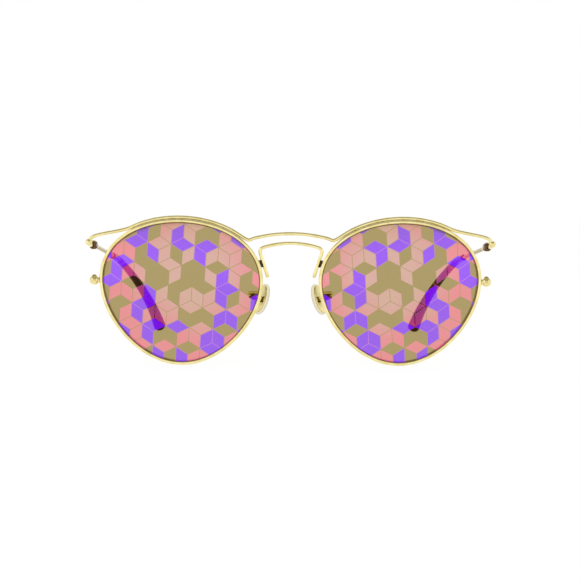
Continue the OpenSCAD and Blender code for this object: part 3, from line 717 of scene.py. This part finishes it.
# the temples: a bare wire, then a sleeve that swells into the drop behind the ear
bendSize = {"firstPull": 0.37, "lastIn": 0.7, "lastBack": 0.68, "lastDown": 0.44}  # shares of the bend
templeMesh = {
    "wireSides": 20, "sleeveSides": 32, "straight": 20, "bend": 64,
    "lips": (0.82, 0.94), "lipLong": 0.06, "dome": 0.72,
}
wireSeat = hingeSize["knuckle"] / 2 + 2 * hingeSize["socketWall"]
sleeveFrom = hingeAt + fallWay * templeSize["bare"]
bendPull = [
    bendAt, bendAt + fallWay * templeSize["back"] * bendSize["firstPull"],
    Vector((
        hingeSize["x"] - templeSize["inward"] * bendSize["lastIn"],
        bendAt.y + templeSize["back"] * bendSize["lastBack"],
        between(bendAt.z, tipEnd.z, bendSize["lastDown"]),
    )),
    tipEnd,
]
straightSteps, bendSteps = templeMesh["straight"], templeMesh["bend"]
sleeveSides = templeMesh["sleeveSides"]
sleevePath = straightRun(sleeveFrom, bendAt, straightSteps) + bezier(bendPull, bendSteps)[1:]
wireLast = straightSteps + int(bendSteps * (1 - templeSize["solidEnd"] / (tipEnd - bendAt).length))
wirePath = straightRun(hingeAt + fallWay * wireSeat, sleeveFrom, straightSteps)
wirePath += sleevePath[1 : wireLast + 1]
sideways = Vector((1, 0, 0))


def sleeveRadius(k):
    if k <= straightSteps:
        return (templeSize["sleeve"] + (templeSize["knee"] - templeSize["sleeve"]) * k / straightSteps) / 2
    share = ((k - straightSteps) / bendSteps) ** templeSize["swell"]
    return (templeSize["knee"] + (templeSize["tipLook"] - templeSize["knee"]) * share) / 2


def sleeveRing(k, radius, share=0.0):  # share of the way to the next point
    centre = between(sleevePath[k], sleevePath[k + 1], share)
    return ringAt(centre, wayAlong(sleevePath, k), sideways, radius, sleeveSides)


wireSkin = wireRings(wirePath, templeSize["wire"] / 2, sideways, templeMesh["wireSides"], (False, False))[0]
sizes = [sleeveRadius(k) for k in range(len(sleevePath))]
lip = [sleeveRing(0, sizes[0] * share) for share in templeMesh["lips"]]
lip.append(sleeveRing(0, sizes[0], templeMesh["lipLong"]))
outer, tips = wireRings(sleevePath[1:], sizes[1:], sideways, sleeveSides, (False, True), templeMesh["dome"])
bore = [sleeveRing(k, templeSize["bore"] / 2) for k in range(wireLast + 1, -1, -1)]
for side, sideName in sideNames.items():
    wire = loft("temple_wire_" + sideName + "_look", wireSkin, [shadedWireGold], side)
    attach(wire, sideName + "_temple", "gold_frame", "temple_wire_" + sideName)
    sleeve = loft("temple_tip_" + sideName + "_look", bore + lip + outer, [tortoise], side, tips)
    attach(sleeve, sideName + "_temple", "tortoise_tip", "temple_tip_" + sideName)
print("temples made")

# the nose pads: a soft clear pad that laps round a gold plate, on a bent wire arm
padSize = {
    "high": 10.6, "wide": 7.0, "thick": 1.6, "plate": 0.6, "x": 9.8, "y": 9.5, "up": -2.6,
    "splay": 30.0, "lean": 20.0, "egg": 0.12, "sides": 56,
    "bossLong": 1.85, "bossWide": 1.2, "boss": 1.5, "boxWall": 0.5, "boxBack": 1.6,
}
armSize = {
    "wire": 0.9, "turn": 183, "clear": 0.02, "foot": 0.99, "bow": 1.8, "climb": 1.4, "reach": 2.2,
    "seatFrom": 0.603, "seatTo": 0.3, "across": (1, 0, 0.2), "steps": 44, "sides": 18, "dome": 0.8,
}


def inPad(p):  # x away from the nose, y across the pad and z up along it
    (cl, sl), (cs, ss) = turned(padSize["lean"]), turned(padSize["splay"])
    q = Vector((p[0] * cl - p[2] * sl, p[1], p[0] * sl + p[2] * cl))
    return Vector((
        padSize["x"] + q.x * cs + q.y * ss, padSize["y"] - q.x * ss + q.y * cs, lensZ + padSize["up"] + q.z,
    ))


def padRing(x, grow):
    halfWide, halfHigh = padSize["wide"] / 2 * grow, padSize["high"] / 2 * grow
    turns = [turned(360 * i / padSize["sides"]) for i in range(padSize["sides"])]
    return [inPad((x, halfWide * c * (1 - padSize["egg"] * s), halfHigh * s)) for c, s in turns]


softProfile = [  # depth as a share of the thickness, and share of the outline
    (-0.985, 0.3), (-0.96, 0.5), (-0.91, 0.68), (-0.82, 0.83), (-0.68, 0.93), (-0.5, 0.985), (-0.3, 1.0),
    (-0.08, 0.995), (0.12, 0.975), (0.2, 0.95), (0.2, 0.93), (0.12, 0.915), (-0.0125, 0.912),
]
plateProfile = [(0.0, 0.86), (0.08, 0.895), (0.5, 0.9), (0.85, 0.87), (1.0, 0.8)]
softRings = [padRing(depth * padSize["thick"], grow) for depth, grow in softProfile]
plateRings = [padRing(depth * padSize["plate"], grow) for depth, grow in plateProfile]
screwX = padSize["plate"] + padSize["bossLong"]
bossHalf, bossFoot = padSize["boss"] / 2, padSize["plate"] / 2
roundEnd = [(screwX + bossHalf * c, bossHalf * s) for c, s in map(turned, range(-75, 90, 15))]
bossOutline = [(bossFoot, -bossHalf), (screwX, -bossHalf)] + roundEnd
bossOutline += [(screwX, bossHalf), (bossFoot, bossHalf)]
flanks = [-padSize["bossWide"] / 2, padSize["bossWide"] / 2]
bossRings = [[inPad((x, y, z)) for x, z in bossOutline] for y in flanks]

# the arm climbs from the back of the rim and bends round into the pad's box
boxBack = screwX + bossHalf + padSize["boxWall"] * padSize["boxBack"]
armBehind = rimHalf + armSize["wire"] / 2 + armSize["clear"]
armFoot = rimPoint(armSize["turn"], rimIn + rimSize["wide"] / 2, armBehind)
armEnd, armOut = inPad((boxBack + armSize["clear"], 0, 0)), inPad((1, 0, 0)) - inPad((0, 0, 0))
footLong, bow = Vector((0, 0, armSize["foot"])), armSize["bow"]
armPath = [armFoot - footLong, armFoot] + bezier([
    armFoot + footLong, armFoot + Vector((bow / 3, bow, armSize["climb"])),
    armEnd + armOut * armSize["reach"] + Vector((0, 0, bow / 3)), armEnd + armOut * armSize["seatFrom"],
], armSize["steps"]) + [armEnd + armOut * armSize["seatTo"], armEnd]
armAcross = Vector(armSize["across"])
armRings, armTips = wireRings(
    armPath, armSize["wire"] / 2, armAcross, armSize["sides"], (True, False), armSize["dome"],
)
padTips = inPad((-padSize["thick"], 0, 0)), None
for side, sideName in sideNames.items():
    pad = loft("nose_pad_" + sideName + "_look", softRings, [silicone], side, padTips)
    attach(pad, sideName + "_pad", "clear_pad", "nose_pad_" + sideName)
    plate = loft("pad_plate_" + sideName, plateRings, [gold], side)
    attach(plate, sideName + "_pad", "gold_frame", "pad_insert_" + sideName)
    boss = loft("pad_boss_" + sideName, bossRings, [gold], side)
    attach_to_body(boss, sideName + "_pad")
    arm = loft("pad_arm_" + sideName + "_look", armRings, [gold], side, armTips)
    attach(arm, "front", "gold_frame", "pad_arm_" + sideName)
print("nose pads and their arms made")

# the pieces that keep their solids get their finish, and edges that catch the light, rounded in millimetres
roundingMesh = {"segments": 2, "sharperThan": 40}
keptPieces = {
    "closing_bead_upper": (gold, 0.1), "closing_bead_lower": (gold, 0.1),
    # the bridge posts and the pad boxes take gold painted dark as shade
    "bridge_post": (postShadeGold, 0.08), "pad_box": (padBoxShadedGold, 0.1),
    "hinge_front": (hingeGold, 0.07), "hinge_temple": (hingeGold, 0.07),
    "closing_screw": (screwGold, 0.05), "pad_screw": (screwGold, 0.04), "hinge_screw": (screwGold, 0.04),
}
for nodeName, (finish, edgeRound) in keptPieces.items():
    for sideName in sideNames.values():
        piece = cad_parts[nodeName + "_" + sideName]
        for materialSlot in piece.material_slots:
            materialSlot.material = finish
        rounding = piece.modifiers.new("edges", "BEVEL")
        rounding.width, rounding.segments = edgeRound * mm, roundingMesh["segments"]
        rounding.limit_method, rounding.angle_limit = "ANGLE", math.radians(roundingMesh["sharperThan"])
        rounding.harden_normals = True
print("hinges, beads, boxes and screws finished")

# the studio: a pale floor, white all round, soft lamps, and a dim ceiling that the metal mirrors
studio = {
    "floorWide": 5.0, "floorUnder": 0.02 * mm, "floorColour": (0.96, 0.96, 0.96, 1), "floorRough": 0.9,
    "floorWhite": 0.9, "floorGlow": 1.03, "aroundWhite": 1.0, "ambient": 0.8,
    "ceilingDim": 0.58, "ceilingFrom": 0.1, "ceilingTo": 0.5, "ceilingBack": 0.9,
}


def lightPath(sheet, *names):
    seen = [sheet.node("ShaderNodeLightPath", output=name) for name in names]
    return sheet.smallest(sum(seen[1:], seen[0]), 1.0)


floorMesh = bpy.data.meshes.new("floor")
r = studio["floorWide"] / 2
floorMesh.from_pydata([(-r, -r, 0), (r, -r, 0), (r, r, 0), (-r, r, 0)], [], [(0, 1, 2, 3)])
floor = bpy.data.objects.new("floor", floorMesh)
bpy.context.collection.objects.link(floor)
floor.location.z = cadLow.z - studio["floorUnder"]
floor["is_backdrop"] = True
paper, sheet = newFinish("paleFloor")
matt = sheet.principled({"Base Color": studio["floorColour"], "Roughness": studio["floorRough"]})
glow = sheet.node("ShaderNodeEmission", {}, {"Color": white, "Strength": studio["floorGlow"]})
isSeen = lightPath(sheet, "Is Camera Ray", "Is Glossy Ray", "Is Transmission Ray")
sheet.showMix(isSeen * studio["floorWhite"], matt, glow)
floorMesh.materials.append(paper)

world = bpy.data.worlds.new("whiteStudio")
bpy.context.scene.world = world
world.use_nodes = True
sheet = NodeSheet(world.node_tree)
y, z = sheet.axes(sheet.node("ShaderNodeTexCoord", output="Generated"), "YZ")
ceiling = sheet.smooth(z, studio["ceilingFrom"], studio["ceilingTo"])
ceiling = ceiling * (1 - sheet.smooth(y, 0.0, studio["ceilingBack"]))
mirrored = studio["aroundWhite"] - ceiling * lightPath(sheet, "Is Glossy Ray") * studio["ceilingDim"]
isSeen = lightPath(sheet, "Is Camera Ray", "Is Glossy Ray", "Is Transmission Ray")
level = sheet.choose(isSeen, studio["ambient"], mirrored)
background = sheet.node("ShaderNodeBackground", {}, {"Color": white, "Strength": level})
sheet.node("ShaderNodeOutputWorld", {}, {"Surface": background})

softBoxes = [  # name, place from the frame's middle in metres, size in metres, radiance
    ("frontBox", (0.0, -1.2, 0.2), (2.0, 1.3), 0.14),
    ("leftBox", (-0.9, -0.45, 0.55), (0.6, 0.6), 1.1),
    ("rightBox", (0.9, -0.3, 0.5), (0.6, 0.6), 0.8),
]
middle = (cadLow + cadHigh) / 2
for lampName, place, size, radiance in softBoxes:
    lamp = bpy.data.lights.new(lampName, "AREA")
    lamp.shape, lamp.size, lamp.size_y = "RECTANGLE", size[0], size[1]
    lamp.energy = radiance * math.pi * size[0] * size[1]
    holder = bpy.data.objects.new(lampName, lamp)
    bpy.context.collection.objects.link(holder)
    holder.location = middle + Vector(place)
    holder.rotation_euler = (middle - holder.location).to_track_quat("-Z", "Y").to_euler()
print("studio lit")

# the camera: a long lens, a little to one side and looking slightly down; millimetres and degrees
view = {
    "away": 550.0, "asideX": -6.2, "pitch": 3.6, "roll": 0.35, "wideAtFront": 190.7,
    "lookUp": 25.1, "lookX": -0.25, "sensor": 36.0, "clip": (0.01, 20),
}
shot = bpy.data.cameras.new("camera")
shot.sensor_width = view["sensor"]
shot.lens = view["sensor"] * view["away"] / view["wideAtFront"]
shot.clip_start, shot.clip_end = view["clip"]
camera = bpy.data.objects.new("camera", shot)
bpy.context.collection.objects.link(camera)
target = Vector((view["lookX"], -middleY, view["lookUp"])) * mm
c, s = turned(view["pitch"])
camera.location = target + Vector((view["asideX"], -view["away"] * c, view["away"] * s)) * mm
aim = (target - camera.location).to_track_quat("-Z", "Y").to_matrix().to_4x4()
camera.rotation_euler = (aim @ Matrix.Rotation(math.radians(view["roll"]), 4, "Z")).to_euler()
bpy.context.scene.camera = camera
bpy.context.scene.view_settings.view_transform = "Standard"

seenLow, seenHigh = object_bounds()
sizes = {"cad": [list(cadLow), list(cadHigh)], "visual": [list(seenLow), list(seenHigh)]}
